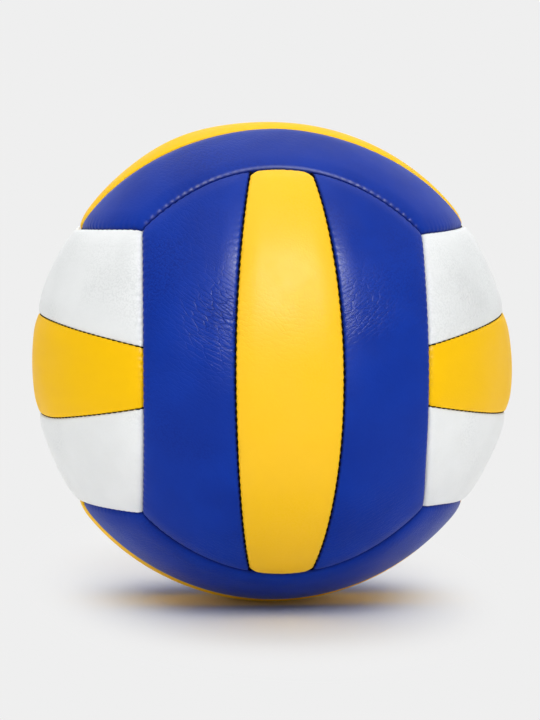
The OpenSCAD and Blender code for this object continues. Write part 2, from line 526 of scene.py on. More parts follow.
@dataclass
class PanelShape:
    """Works out one panel's skin: a tray with rolled edges that turn in along its seams.

    fine, step and growth set the grid of the outer face, and back_along and back_across how much
    coarser the inner face is. Within seam_zone skins of a seam the inner face stands a further
    seam_extra of a skin behind.
    """

    group: Group
    strip: Strip
    ball: BallSizes
    ripple: Ripple
    fine: float = 0.16 * MM
    step: float = 0.6 * MM
    growth: float = 0.22
    back_along: int = 8
    back_across: int = 6
    corner_power: float = 2.2
    wall_fade: float = 3.0
    seam_zone: float = 6.0
    seam_extra: float = 0.15
    pad_margin: float = 4.3 * MM
    sway: float = 0.7 * MM
    sway_rate: float = 5.0

    def directions(self) -> np.ndarray:
        """Grid of directions over the panel, rows along it and columns across it.

        A middle strip has alpha = half_angle * t and phi = s * end_angle(alpha). An outer strip's
        outer edge is where cos(phi) * sin(alpha) is cos(group_angle), and lines are spread between
        its four edges so that each edge is met exactly.

        Returns:
            The directions, with their axes last.
        """
        ball, lam = self.ball, self.group.half_angle
        middle = self.strip is Strip.MIDDLE
        length = 2 * float(ball.end_angle(lam)) * ball.radius
        width = (2 * lam if middle else ball.corner_angle - lam) * ball.radius
        rows = 2 * graded(length, self.fine, self.step, self.growth) - 1
        columns = graded(width, self.fine, self.step, self.growth)
        if middle:
            s, t = np.meshgrid(rows, 2 * columns - 1, indexing="ij")
            alpha = lam * t
            phi = s * ball.end_angle(alpha)
        else:
            s, t = np.meshgrid(rows, columns[:: self.strip.value], indexing="ij")
            corner = float(ball.end_angle(ball.corner_angle))
            outer = np.arcsin(math.cos(ball.group_angle) / np.cos(corner * s))
            alpha = self.strip.value * (lam + t * (outer - lam))
            phi = s * ball.end_angle(lam + t * (ball.corner_angle - lam))
        v, u, w = self.group.axes()
        flat = np.sin(alpha)[..., None] * v + np.cos(alpha)[..., None] * w
        return np.cos(phi)[..., None] * flat + np.sin(phi)[..., None] * u

    def seams(self) -> list[Seam]:
        """The seams round the panel."""
        return panel_seams(self.group, self.strip, self.ball)

    def distances(self, d: np.ndarray) -> list[np.ndarray]:
        """Distance of directions d from each seam, in metres."""
        return [np.maximum(seam.distance(d), 0) * self.ball.radius for seam in self.seams()]

    def drawn_in(self, d: np.ndarray, wall: float = 0.0) -> np.ndarray:
        """Directions moved in from the seams, and out of the corners.

        At an edge a point stands back by the seam's gap, by its notch at each stitch and by wall,
        which fades as exp(-x / (wall_fade * wall)). At a corner the distances a and b from the
        edges, as shares of the corner's radius, are taken from a square to a disc: a becomes
        a * sqrt(1 - b * b / 2), and b likewise.

        Args:
            d: Directions on the panel.
            wall: How much further in the point stands, as on the inside of the skin.

        Returns:
            The moved directions, before the waves and creeps shift them.
        """
        seams, places = self.seams(), self.distances(d)
        away = [seam.away(d) for seam in seams]
        move = np.zeros(d.shape)
        for seam, x, lean in zip(seams, places, away):
            section = seam.section
            stand = section.gap + section.notch * section.gather(seam.run(d) * self.ball.radius)
            push = stand * np.exp(-x / section.notch_width)
            if wall:
                push += wall * np.exp(-x / (self.wall_fade * wall))
            move += push[..., None] * lean
        for edge in EDGES:
            section = seams[edge].section
            radius = section.middle_corner if self.strip is Strip.MIDDLE else section.corner
            for end in ENDS:
                a = np.clip(1 - places[end] / radius, 0, 1)
                b = np.clip(1 - places[edge] / radius, 0, 1)
                move += (radius * a * (1 - np.sqrt(1 - b**2 / 2)))[..., None] * away[end]
                move += (radius * b * (1 - np.sqrt(1 - a**2 / 2)))[..., None] * away[edge]
        return unit(d + move / self.ball.radius)

    def reach(self, d: np.ndarray) -> np.ndarray:
        """Radius of the skin's outer face, less its rolls, puckers and pleats.

        The rolls at two seams join as the corner_power root of the sum of their powers.

        Args:
            d: Directions on the panel.

        Returns:
            Distances from the ball's centre.
        """
        radius = self.ball.radius
        drop, pull = np.zeros(d.shape[:-1]), np.zeros(d.shape[:-1])
        sway = self.sway * self.ripple.value(self.sway_rate * d, Wave.SWAY)
        for seam, x in zip(self.seams(), self.distances(d)):
            drop += seam.section.drop(x) ** self.corner_power
            pull += seam.section.pull(x, seam.run(d) * radius + sway)
        height = radius - drop ** (1 / self.corner_power) - pull * self.ripple.hold(d)
        return height + self.ripple.bulge(d) - self.ripple.swell

    def placed(self, d: np.ndarray, reach: np.ndarray | float) -> np.ndarray:
        """Points at a radius over directions d, which the waves and creeps shift."""
        return self.ripple.shifted(d, self.ball.radius) * (reach + np.zeros(d.shape[:-1]))[..., None]

    def tray(self) -> tuple[np.ndarray, list[np.ndarray], np.ndarray]:
        """The whole skin.

        The outer grid's rim runs straight in to the tray's edge radius, crosses the thickness of
        the skin there and climbs again to a coarser grid that follows the outer one from behind.

        Returns:
            Vertices, faces and each vertex's distance from the nearest seam.
        """
        d, skin = self.directions(), self.ball.skin
        reach = self.reach(d)
        nearest = np.min(self.distances(d), axis=0)
        n, m = nearest.shape
        rows = coarse_places(n, self.back_along)
        columns = coarse_places(m, self.back_across)
        edge_radius = self.ball.radius - self.ball.edge_radius_drop

        grid = np.arange(n * m).reshape(n, m)
        rim = perimeter(grid)
        points = self.placed(self.drawn_in(d), reach).reshape(-1, 3)
        rim_radius = np.minimum(edge_radius, reach.reshape(-1)[rim] - self.ball.edge_height)
        low_rim = at_radius(points[rim], rim_radius)

        picked = np.ix_(rows, columns)
        extra = np.where(nearest[picked] < self.seam_zone * skin, self.seam_extra * skin, 0)
        behind = reach[picked] - skin - extra
        back_points = self.placed(self.drawn_in(d[picked], skin), behind).reshape(-1, 3)
        back_grid = np.arange(len(back_points)).reshape(behind.shape)
        back_rim = perimeter(back_grid)
        inner_radius = np.minimum(edge_radius, behind.reshape(-1)[back_rim] - self.ball.edge_height)
        low_inner = at_radius(back_points[back_rim], inner_radius)

        low_at = len(points)
        inner_at = low_at + len(rim)
        back_at = inner_at + len(back_rim)
        vertices = np.concatenate([points, low_rim, low_inner, back_points])
        ring = np.arange(len(rim))
        inner_ring = np.arange(len(back_rim))
        faces = [
            grid_faces(grid),
            ring_faces(rim, low_at + ring),
            ring_faces(inner_at + inner_ring, back_at + back_rim),
            grid_faces(back_at + back_grid)[:, ::-1],
            *bridge_faces(low_at + ring, inner_at + inner_ring, rim_marks(n, m, rows, columns)),
        ]
        distances = np.zeros(len(vertices))
        distances[: n * m] = nearest.reshape(-1)
        return vertices, faces, distances

    def pad(self) -> Mesh:
        """The foam behind the skin, from the skin's back to the lining.

        It is a closed slab over a coarse grid, whose rim stands pad_margin in from the seams.

        Returns:
            Vertices and faces.
        """
        d = self.directions()
        rows = coarse_places(d.shape[0], self.back_along)
        columns = coarse_places(d.shape[1], self.back_across)
        d = self.drawn_in(d[np.ix_(rows, columns)], self.pad_margin)
        outer = self.reach(d) - self.ball.skin - 2 * self.ball.play
        inner = self.ball.lining_radius + self.ball.play
        vertices = np.concatenate([self.placed(d, face).reshape(-1, 3) for face in (outer, inner)])
        grid = np.arange(outer.size).reshape(outer.shape)
        rim, low = perimeter(grid), grid.size
        return vertices, [grid_faces(grid), ring_faces(rim, rim + low), grid_faces(grid + low)[:, ::-1]]


def coarse_places(count: int, step: int) -> np.ndarray:
    """Every step-th place from 0 to count - 1, with both ends."""
    return np.unique(np.append(np.arange(0, count, step), count - 1))


def perimeter(grid: np.ndarray) -> np.ndarray:
    """Indices round a grid's rim, anticlockwise as seen from outside."""
    return np.concatenate([grid[0, :-1], grid[:-1, -1], grid[-1, :0:-1], grid[:0:-1, 0]])


def rim_marks(n: int, m: int, rows: np.ndarray, columns: np.ndarray) -> np.ndarray:
    """Where a coarser grid's rim meets that of the fine grid that it was picked from.

    Args:
        n: How many rows the fine grid has.
        m: How many columns it has.
        rows: The rows picked.
        columns: The columns picked.

    Returns:
        Places round the fine grid's rim, in the order of perimeter.
    """
    return np.concatenate([
        columns[:-1],
        (m - 1) + rows[:-1],
        (m - 1) + (n - 1) + (m - 1) - columns[:0:-1],
        2 * (m - 1) + (n - 1) + (n - 1) - rows[:0:-1],
    ])


def at_radius(points: np.ndarray, radius: np.ndarray) -> np.ndarray:
    """The points moved straight in or out, each to its radius."""
    return points * (radius / np.linalg.norm(points, axis=-1))[:, None]


def grid_faces(grid: np.ndarray) -> np.ndarray:
    """Four-sided faces of a grid of vertex indices, which face out where rows run along."""
    a, b, c, d = grid[:-1, :-1], grid[:-1, 1:], grid[1:, 1:], grid[1:, :-1]
    return np.stack([a, b, c, d], axis=-1).reshape(-1, 4)


def ring_faces(upper: np.ndarray, lower: np.ndarray) -> np.ndarray:
    """Four-sided faces between two closed rings with as many vertices."""
    return np.stack([upper, lower, np.roll(lower, -1), np.roll(upper, -1)], axis=-1)


def bridge_faces(fine: np.ndarray, coarse: np.ndarray, marks: np.ndarray) -> list[np.ndarray]:
    """Triangles between a fine ring and a coarse one.

    Every fine edge goes to the coarse vertex of its nearer mark, and every coarse edge to the fine
    vertex where that changes.

    Args:
        fine: Vertex indices of the fine ring.
        coarse: Vertex indices of the coarse ring.
        marks: Where on the fine ring each coarse vertex belongs.

    Returns:
        The triangles along the fine ring and those along the coarse one.
    """
    count = len(fine)
    following = np.append(marks[1:], marks[0] + count)
    middle = (marks + following) // 2
    place = np.arange(count)
    lower = np.searchsorted(marks, place, side="right") - 1
    owner = np.where(place < middle[lower], lower, (lower + 1) % len(coarse))
    along = np.stack([fine, coarse[owner], np.roll(fine, -1)], axis=-1)
    across = np.stack([coarse, np.roll(coarse, -1), fine[middle % count]], axis=-1)
    return [along, across]


def mesh_object(name: str, vertices: np.ndarray, faces: list[np.ndarray]) -> bpy.types.Object:
    """A smooth-shaded object made from arrays of vertices and faces.

    Args:
        name: Name of the object and its mesh.
        vertices: Places in metres.
        faces: Arrays of faces, each with one number of corners.

    Returns:
        The object, linked to the scene.
    """
    mesh = bpy.data.meshes.new(name)
    mesh.vertices.add(len(vertices))
    mesh.vertices.foreach_set("co", np.asarray(vertices, np.float32).reshape(-1))
    corners = np.concatenate([part.reshape(-1) for part in faces]).astype(np.int32)
    sizes = np.concatenate([np.full(len(part), part.shape[1]) for part in faces])
    starts = np.concatenate([[0], np.cumsum(sizes)[:-1]]).astype(np.int32)
    mesh.loops.add(len(corners))
    mesh.loops.foreach_set("vertex_index", corners)
    mesh.polygons.add(len(sizes))
    mesh.polygons.foreach_set("loop_start", starts)
    mesh.polygons.foreach_set("use_smooth", np.ones(len(sizes), bool))
    mesh.update(calc_edges=True)
    mesh.validate()
    made = bpy.data.objects.new(name, mesh)
    bpy.context.scene.collection.objects.link(made)
    return made


def set_attribute(made: bpy.types.Object, name: str, values: np.ndarray) -> None:
    """Stores one vector per vertex on an object's mesh."""
    attribute = made.data.attributes.new(name, "FLOAT_VECTOR", "POINT")
    attribute.data.foreach_set("vector", np.asarray(values, np.float32).reshape(-1))


class Nodes:
    """A node tree with short calls for making and joining nodes."""

    def __init__(self, tree: bpy.types.NodeTree) -> None:
        """Takes the tree to build in."""
        self.tree = tree

    def add(self, kind: str, settings: dict[str, Any] | None = None, **inputs: object) -> bpy.types.Node:
        """Makes a node, sets its properties, and sets or links its inputs.

        Args:
            kind: Node type without its ShaderNode prefix.
            settings: Properties of the node.
            **inputs: Values or output sockets, by input name with underscores for spaces.

        Returns:
            The node.
        """
        node = self.tree.nodes.new("ShaderNode" + kind)
        for key, value in (settings or {}).items():
            setattr(node, key, value)
        for key, value in inputs.items():
            self.join(value, node.inputs[key.replace("_", " ")])
        return node

    def put(self, kind: str, settings: dict[str, Any] | None, *values: object) -> Socket:
        """Makes a node whose inputs take values in their own order.

        Args:
            kind: Node type without its ShaderNode prefix.
            settings: Properties of the node.
            *values: Values or output sockets.

        Returns:
            The node's first output.
        """
        node = self.add(kind, settings)
        for value, socket in zip(values, node.inputs):
            self.join(value, socket)
        return node.outputs[0]

    def join(self, value: object, socket: Socket) -> None:
        """Links an output socket to an input, or sets the input to a value.

        Args:
            value: Output socket, number, colour or vector.
            socket: The input.
        """
        if isinstance(value, bpy.types.NodeSocket):
            self.tree.links.new(value, socket)
        else:
            socket.default_value = value

    def sum(self, operation: str, a: object, b: object, clamp: bool = False) -> Socket:
        """A Math node of two inputs."""
        return self.put("Math", {"operation": operation, "use_clamp": clamp}, a, b)

    def ramp(self, value: object, low: float, high: float,
             to_low: float = 0.0, to_high: float = 1.0) -> Socket:
        """A smooth step of a value from low..high to to_low..to_high."""
        smooth = {"interpolation_type": "SMOOTHSTEP"}
        return self.put("MapRange", smooth, value, low, high, to_low, to_high)

    def noise(self, vector: object, scale: float, detail: float = 3.0, rough: float = 0.5) -> Socket:
        """Height of a noise texture."""
        return self.add("TexNoise", Vector=vector, Scale=scale, Detail=detail, Roughness=rough).outputs[0]

    def bump(self, height: object, distance: float, **below: Socket) -> Socket:
        """A Bump node, on top of another one if that is given as Normal."""
        return self.add("Bump", Height=height, Distance=distance, Strength=1.0, **below).outputs[0]

    def mix_colour(self, share: object, a: object, b: object) -> Socket:
        """A colour between two others.

        Args:
            share: How far from a to b.
            a: First colour, which is the Mix node's input 6.
            b: Second colour, which is its input 7.

        Returns:
            The colour, which is its output 2.
        """
        node = self.add("Mix", {"data_type": "RGBA"})
        for value, place in ((share, 0), (a, 6), (b, 7)):
            self.join(value, node.inputs[place])
        return node.outputs[2]

    def seen(self) -> Socket:
        """Tells rays from the camera, or seen in a gloss or through glass, from those that light.

        Returns:
            1 for the rays that are seen.
        """
        path = self.add("LightPath")
        rays = self.sum("ADD", path.outputs["Is Camera Ray"], path.outputs["Is Glossy Ray"], clamp=True)
        return self.sum("ADD", rays, path.outputs["Is Transmission Ray"], clamp=True)


class MaterialNodes(Nodes):
    """A new material's node tree, which has a Principled shader."""

    def __init__(self, name: str) -> None:
        """Starts the material.

        Args:
            name: Name of the material.
        """
        self.material = bpy.data.materials.new(name)
        self.material.use_nodes = True
        super().__init__(self.material.node_tree)
        self.shader = self.tree.nodes["Principled BSDF"]
        self.output = self.tree.nodes["Material Output"]

    def shade(self, **inputs: object) -> None:
        """Sets or links the shader's own inputs, by name with underscores for spaces."""
        for key, value in inputs.items():
            self.join(value, self.shader.inputs[key.replace("_", " ")])


def rgb(red: int, green: int, blue: int) -> Paint:
    """Turns a colour of the screen to scene-linear values.

    Args:
        red: From 0 to 255.
        green: From 0 to 255.
        blue: From 0 to 255.

    Returns:
        The colour, with an alpha of 1.
    """
    shares = [value / 255 for value in (red, green, blue)]
    linear = [c / 12.92 if c <= 0.04045 else ((c + 0.055) / 1.055) ** 2.4 for c in shares]
    return (*linear, 1.0)


@dataclass(frozen=True)
class LeatherFinish:
    """Soft synthetic leather: a pebbled grain, folds where it is bent, and a low gloss.

    The rates are how many times per metre the slow noises turn over, for the blotches in the dye,
    for the patches of painted shade in the grain's pits and for the gloss.
    """

    name: str
    colour: Paint
    # the darker colour that the blotches in the dye and all the painted shade go towards
    deep: Paint
    roughness: float = 0.41
    grain_mm: float = 0.8
    grain_height: float = 0.04 * MM
    grain_smooth: float = 0.6
    fine_rate: float = 900.0
    fold_mm: float = 2.1
    fold_height: float = 0.12 * MM
    small_folds: float = 0.45
    blotch_rate: float = 34.0
    pit_shade_rate: float = 20.0
    gloss_rate: float = 48.0
    # width of the painted shade beside each seam
    painted_seam_shade: float = 1.1 * MM
    specular: float = 0.08
    sheen: float = 0.0
    sheen_roughness: float = 0.3

    def folds(self, n: Nodes, lie: Socket, size_mm: float) -> Socket:
        """Height of a net of sharp valleys round slightly domed cells.

        Args:
            n: The material's nodes.
            lie: Place across and along the folds.
            size_mm: Size of a cell.

        Returns:
            From -1 in a valley to 0.5 on a cell.
        """
        cells = n.add("TexVoronoi", {"feature": "DISTANCE_TO_EDGE", "voronoi_dimensions": "2D"},
                      Vector=lie, Scale=1 / (size_mm * MM))
        edge = cells.outputs["Distance"]
        return n.sum("ADD", n.ramp(edge, 0.0, 0.1, -1.0, 0.0), n.ramp(edge, 0.1, 0.5, 0.0, 0.5))

    def build(self) -> bpy.types.Material:
        """Builds the material.

        It reads lie, which holds the place on the folds and the distance from a seam, and a second
        attribute, which holds how deep the folds are and how far a yellow panel off the front goes to deep.

        Returns:
            The material.
        """
        n = MaterialNodes(self.name)
        place = n.add("TexCoord").outputs["Object"]
        lie = n.add("Attribute", {"attribute_name": "lie"}).outputs["Vector"]
        from_seam = n.add("SeparateXYZ", Vector=lie).outputs[2]
        folds_and_deeper_yellow = n.add("Attribute", {"attribute_name": "folds_and_deeper_yellow"}).outputs["Vector"]
        fold_depth, deeper_off_front, _ = n.add("SeparateXYZ", Vector=folds_and_deeper_yellow).outputs

        pebbles = n.add("TexVoronoi", {"feature": "SMOOTH_F1"}, Vector=place,
                        Scale=1 / (self.grain_mm * MM), Smoothness=self.grain_smooth)
        hollow = pebbles.outputs["Distance"]
        pebble = n.sum("MULTIPLY", hollow, -1.0)
        grain = n.sum("ADD", n.sum("MULTIPLY", pebble, 0.8), n.noise(place, self.fine_rate, rough=0.6))
        small = n.sum("MULTIPLY", self.folds(n, lie, self.small_folds * self.fold_mm), 0.3)
        relief = n.sum("MULTIPLY", n.sum("ADD", self.folds(n, lie, self.fold_mm), small), fold_depth)
        normal = n.bump(grain, self.grain_height, Normal=n.bump(relief, self.fold_height))

        blotch = n.sum("MULTIPLY", n.ramp(n.noise(place, self.blotch_rate), 0.3, 0.7), 0.3)
        # painted shade: in patches the hollows of the grain are painted darker, towards the deep colour
        pit_shade_patches = n.ramp(n.noise(place, self.pit_shade_rate, detail=2.0), 0.48, 0.68, 0.05, 0.5)
        painted_pit_shade = n.sum("MULTIPLY", n.ramp(hollow, 0.35, 0.7), pit_shade_patches)
        # painted shade: the valleys of the folds are painted darker, towards the deep colour
        painted_crease_shade = n.ramp(relief, -1.2, -0.25, 0.5, 0.0)
        # the blotches in the dye, and the deeper yellow of the yellow panels off the front, go towards deep
        tone = n.mix_colour(n.sum("MAXIMUM", blotch, deeper_off_front), self.colour, self.deep)
        tone = n.mix_colour(n.sum("MAXIMUM", painted_pit_shade, painted_crease_shade), tone, self.deep)
        # painted shade: the skin beside each seam is painted darker, towards the deep colour
        tone = n.mix_colour(n.ramp(from_seam, 0.0, self.painted_seam_shade, 0.85, 0.0), tone, self.deep)
        gloss = n.ramp(n.noise(place, self.gloss_rate), 0.3, 0.7,
                       self.roughness - 0.05, self.roughness + 0.06)
        n.shade(Base_Color=tone, Roughness=gloss, Normal=normal, Specular_IOR_Level=self.specular,
                Sheen_Weight=self.sheen, Sheen_Roughness=self.sheen_roughness)
        return n.material


@dataclass(frozen=True)
class PlainFinish:
    """Foam, cloth, thread or rubber: one colour with a fine texture."""

    name: str
    colour: Paint
    dark: Paint
    roughness: float
    cell: float
    height: float
    woven: bool = False
    specular: float = 0.25

    def build(self) -> bpy.types.Material:
        """Builds the material, with a weave of crossed bands or a fine noise.

        Returns:
            The material.
        """
        n = MaterialNodes(self.name)
        place = n.add("TexCoord").outputs["Object"]
        if self.woven:
            bands = [
                n.add("TexWave", {"bands_direction": way}, Vector=place, Scale=1 / self.cell).outputs[1]
                for way in ("X", "Y", "Z")
            ]
            crossed = n.sum("MULTIPLY", bands[0], bands[1])
            texture = n.sum("ADD", crossed, n.sum("MULTIPLY", bands[2], 0.5))
        else:
            texture = n.noise(place, 1 / self.cell, rough=0.6)
        tone = n.mix_colour(n.ramp(texture, 0.3, 0.75), self.dark, self.colour)
        n.shade(Base_Color=tone, Roughness=self.roughness, Specular_IOR_Level=self.specular,
                Normal=n.bump(texture, self.height))
        return n.material


class Finishes:
    """Every material of the ball, by the record's slot name."""

    def __init__(self) -> None:
        """Builds the materials."""
        leathers = (
            LeatherFinish(Colour.BLUE.value, rgb(8, 52, 160), rgb(5, 31, 119), sheen=0.1),
            LeatherFinish(Colour.YELLOW.value, rgb(255, 201, 44), rgb(252, 197, 0),
                          fold_height=0.035 * MM, roughness=0.47, specular=0.075),
            LeatherFinish(Colour.WHITE.value, rgb(239, 241, 241), rgb(217, 220, 220), roughness=0.5),
        )
        plains = (
            PlainFinish("foam", rgb(240, 232, 205), rgb(220, 208, 175), 0.9, 0.8 * MM, 0.2 * MM),
            PlainFinish("lining", rgb(222, 222, 216), rgb(176, 176, 170), 0.85, 1.2 * MM, 0.15 * MM, True),
            PlainFinish("thread", rgb(20, 14, 12), rgb(6, 4, 4), 0.95, 0.25 * MM, 0.08 * MM, specular=0.03),
            PlainFinish("bladder_rubber", rgb(52, 52, 54), rgb(36, 36, 38), 0.6, 3 * MM, 0.1 * MM),
            PlainFinish("valve_rubber", rgb(44, 44, 47), rgb(30, 30, 33), 0.5, 1 * MM, 0.04 * MM),
            PlainFinish("plug_rubber", rgb(34, 34, 36), rgb(22, 22, 24), 0.45, 1 * MM, 0.04 * MM),
        )
        self.slots = {finish.name: finish.build() for finish in leathers + plains}

    def dress(self, made: bpy.types.Object, slot: str) -> None:
        """Gives an object the one material of a slot."""
        made.data.materials.clear()
        made.data.materials.append(self.slots[slot])


@dataclass
class Cover:
    """The eighteen panels of the cover.

    The valve's bore goes from bore_start to bore_end, as shares of the ball's radius.
    """

    ball: BallSizes
    finishes: Finishes
    ripple: Ripple
    creases: Creases
    bore_sides: int = 64
    bore_start: float = 0.8
    bore_end: float = 1.1

    def panel(self, shape: PanelShape) -> bpy.types.Object:
        """Builds, dresses and seats one panel's skin in place of its plain solid.

        Args:
            shape: Shape of the panel.

        Returns:
            The skin's object.
        """
        group, strip = shape.group, shape.strip
        name, colour = group.panel_name(strip), group.colour(strip)
        vertices, faces, distances = shape.tray()
        made = mesh_object("panel_" + name, vertices, faces)
        v, u, w = group.axes()
        d = unit(vertices)
        across = np.arctan2(d @ v, d @ w) * self.ball.radius
        along = np.arcsin(np.clip(d @ u, -1, 1)) * self.ball.radius
        fold = self.creases.place(d, across, along, self.ripple)
        set_attribute(made, "lie", np.column_stack([fold, distances]))
        fold_depth = self.creases.strength(d, self.ripple)
        # yellow panels outside the front group take a deeper yellow
        deeper_off_front = np.full(len(d), float(colour is Colour.YELLOW and group.name != "front"))
        set_attribute(made, "folds_and_deeper_yellow", np.column_stack([fold_depth, deeper_off_front, np.zeros(len(d))]))
        if name == VALVE_PANEL:
            self.bore(made, w)
        self.finishes.dress(made, colour.value)
        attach(made, "root")
        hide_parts("cover_" + name)
        group.colour(strip).value
        return made

    def pad(self, shape: PanelShape) -> bpy.types.Object:
        """Builds, dresses and seats the foam pad behind one panel's skin.

        Args:
            shape: Shape of the panel.

        Returns:
            The pad's object.
        """
        name = shape.group.panel_name(shape.strip)
        made = mesh_object("pad_" + name, *shape.pad())
        if name == VALVE_PANEL:
            self.bore(made, shape.group.axes()[2])
        self.finishes.dress(made, "foam")
        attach(made, "root")
        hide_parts("foam_" + name)
        return made

    def bore(self, made: bpy.types.Object, axis: np.ndarray) -> None:
        """Cuts the hole for the valve's neck through a panel's crown.

        Args:
            made: The skin or the pad.
            axis: Direction of the crown, along one of the ball's axes.
        """
        turns = np.linspace(0, 2 * math.pi, self.bore_sides, endpoint=False)[:, None]
        sideways = np.roll(axis, -1)
        ring = self.ball.neck_hole * (np.cos(turns) * sideways + np.sin(turns) * np.cross(axis, sideways))
        rings = [ring + share * self.ball.radius * axis for share in (self.bore_start, self.bore_end)]
        place = np.arange(self.bore_sides)
        sides = ring_faces(place + self.bore_sides, place)[:, ::-1]
        caps = [place[None, ::-1], place[None, :] + self.bore_sides]
        cutter = mesh_object("neck_cutter", np.concatenate(rings), [sides, *caps])
        cut = made.modifiers.new("neck_hole", "BOOLEAN")
        cut.operation = "DIFFERENCE"
        cut.solver = "EXACT"
        cut.object = cutter
        graph = bpy.context.evaluated_depsgraph_get()
        solid = bpy.data.meshes.new_from_object(made.evaluated_get(graph))
        made.modifiers.clear()
        made.data = solid
        bpy.data.objects.remove(cutter)

    def build(self) -> list[bpy.types.Object]:
        """Builds every panel.

        Returns:
            The skins and pads.
        """
        pieces = []
        for group in GROUPS:
            for strip in Strip:
                shape = PanelShape(group, strip, self.ball, self.ripple)
                pieces += [self.panel(shape), self.pad(shape)]
        return pieces


@dataclass
class Stitching:
    """The stitches along the seams, each a short bowed thread that dips in at both ends.

    A stitch's radius falls as sqrt(1 - taper * share ** power), where share is 1 at its ends. A
    knot's middle lies knot_inset of its length in from the end of the seam.
    """

    ball: BallSizes
    finishes: Finishes
    ripple: Ripple
    length_share: float = 0.96
    slant: float = math.radians(9)
    rings: int = 7
    sides: int = 6
    end_dip: float = 0.5 * MM
    taper: float = 0.96
    knot_share: float = 1.4
    knot_length: float = 2.4 * MM
    knot_depth: float = 2.35 * MM
    knot_inset: float = 0.4

    def course(self, seam: Seam) -> float:
        """Radius of the circle that a seam runs along."""
        return self.ball.radius * math.sin(seam.angle)

    def narrowing(self, share: np.ndarray, power: int) -> np.ndarray:
        """How thick the thread is at places from -1 to 1 along it, as a share of its middle."""
        return np.sqrt(np.clip(1 - self.taper * share**power, 0, 1))

    def knots(self, seam: Seam, half_turn: float) -> Mesh:
        """The fastened thread at both ends of a strip seam, where the round corners leave it bare.

        Args:
            seam: The seam.
            half_turn: Angle about the seam's axis from the middle to either end.

        Returns:
            Vertices and faces.
        """
        turns = np.array([-1, 1]) * (half_turn - self.knot_inset * self.knot_length / self.course(seam))
        share = np.linspace(-1, 1, self.rings)
        thick = self.knot_share * seam.section.thread_radius * self.narrowing(share, 4)
        depth = self.knot_depth + 0 * share
        return self.tubes(seam, turns, share * self.knot_length / 2, 0 * share, depth, thick)

    def seam_stitches(self, seam: Seam, half_turn: float) -> Mesh:
        """Stitches along one seam, from its middle outwards to half_turn each way.

        Each is a tube on a short line that leans by slant from the seam, with its radius falling
        to nothing and its height falling by end_dip at the ends.

        Args:
            seam: The seam.
            half_turn: Angle about the seam's axis from the middle to either end.

        Returns:
            Vertices and faces.
        """
        section, reach = seam.section, self.course(seam)
        count = int(half_turn * reach / section.pitch - 0.5)
        turns = np.arange(-count, count + 1) * section.pitch / reach
        share = np.linspace(-1, 1, self.rings)
        half = share * section.pitch * self.length_share / 2
        along, aside = half * math.cos(self.slant), half * math.sin(self.slant)
        depth = section.thread_depth + self.end_dip * share**4
        thick = section.thread_radius * self.narrowing(share, 6)
        return self.tubes(seam, turns, along, aside, depth, thick)

    def tubes(self, seam: Seam, turns: np.ndarray, along: np.ndarray, aside: np.ndarray,
              depth: np.ndarray, thick: np.ndarray) -> Mesh:
        """Short closed tubes along a seam, all of one shape.

        Args:
            seam: The seam.
            turns: Angle about the seam's axis of each tube's middle.
            along: Place along the seam of each ring of a tube, from its middle.
            aside: Place across the seam of each ring.
            depth: Depth of each ring below the crown.
            thick: Radius of each ring.

        Returns:
            Vertices and faces.
        """
        turn = turns[:, None] + along[None, :] / self.course(seam)
        tilt = seam.angle + aside[None, :] / self.ball.radius + 0 * turn
        flat = np.cos(turn)[..., None] * seam.start + np.sin(turn)[..., None] * seam.cross
        out = np.sin(tilt)[..., None] * flat + np.cos(tilt)[..., None] * seam.axis
        height = self.ball.radius - depth[None, :] + self.ripple.bulge(out) - self.ripple.swell
        out = self.ripple.shifted(out, self.ball.radius)
        centre = out * height[..., None]
        onward = unit(np.cross(np.broadcast_to(seam.axis, out.shape), out))
        sideways = np.cross(out, onward)
        angles = (np.arange(self.sides) * 2 * math.pi / self.sides)[:, None, None, None]
        tube = centre + (np.cos(angles) * sideways + np.sin(angles) * out) * thick[None, None, :, None]
        points = np.moveaxis(tube, 0, 2).reshape(-1, 3)
        index = np.arange(len(points)).reshape(len(turns), self.rings, self.sides)
        a, b = index[:, :-1, :], index[:, 1:, :]
        faces = np.stack([a, np.roll(a, -1, axis=2), np.roll(b, -1, axis=2), b], axis=-1).reshape(-1, 4)
        caps = np.concatenate([index[:, 0, ::-1], index[:, -1, :]])
        return points, [faces, caps]

    def piece(self, name: str, runs: list[tuple[Seam, float]], node: str) -> bpy.types.Object:
        """Joins the stitches of several seams in one object that replaces a plain thread.

        Args:
            name: Name of the piece.
            runs: Each seam, with the angle about its axis from its middle to its end.
            node: The plain thread.

        Returns:
            The piece.
        """
        points, faces, start = [], [], 0
        for seam, half_turn in runs:
            made = [self.seam_stitches(seam, half_turn)]
            if seam.sewing is not Sewing.GROUP:
                made.append(self.knots(seam, half_turn))
            for vertices, parts in made:
                points.append(vertices)
                faces += [part + start for part in parts]
                start += len(vertices)
        made = mesh_object(name, np.concatenate(points), faces)
        self.finishes.dress(made, "thread")
        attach(made, "root")
        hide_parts(node)
        return made

    def build(self) -> list[bpy.types.Object]:
        """Builds the stitches between strips and those between groups.

        Returns:
            The two pieces.
        """
        strip_runs, group_runs = [], []
        for group in GROUPS:
            strip_turn = float(self.ball.end_angle(group.half_angle))
            seams = panel_seams(group, Strip.MIDDLE, self.ball)
            group_runs += [(seams[end], self.ball.corner_angle) for end in ENDS]
            strip_runs += [(seams[edge], strip_turn) for edge in EDGES]
        return [
            self.piece("stitches_strip_seams", strip_runs, "thread_strip_seams"),
            self.piece("stitches_group_seams", group_runs, "thread_group_seams"),
        ]


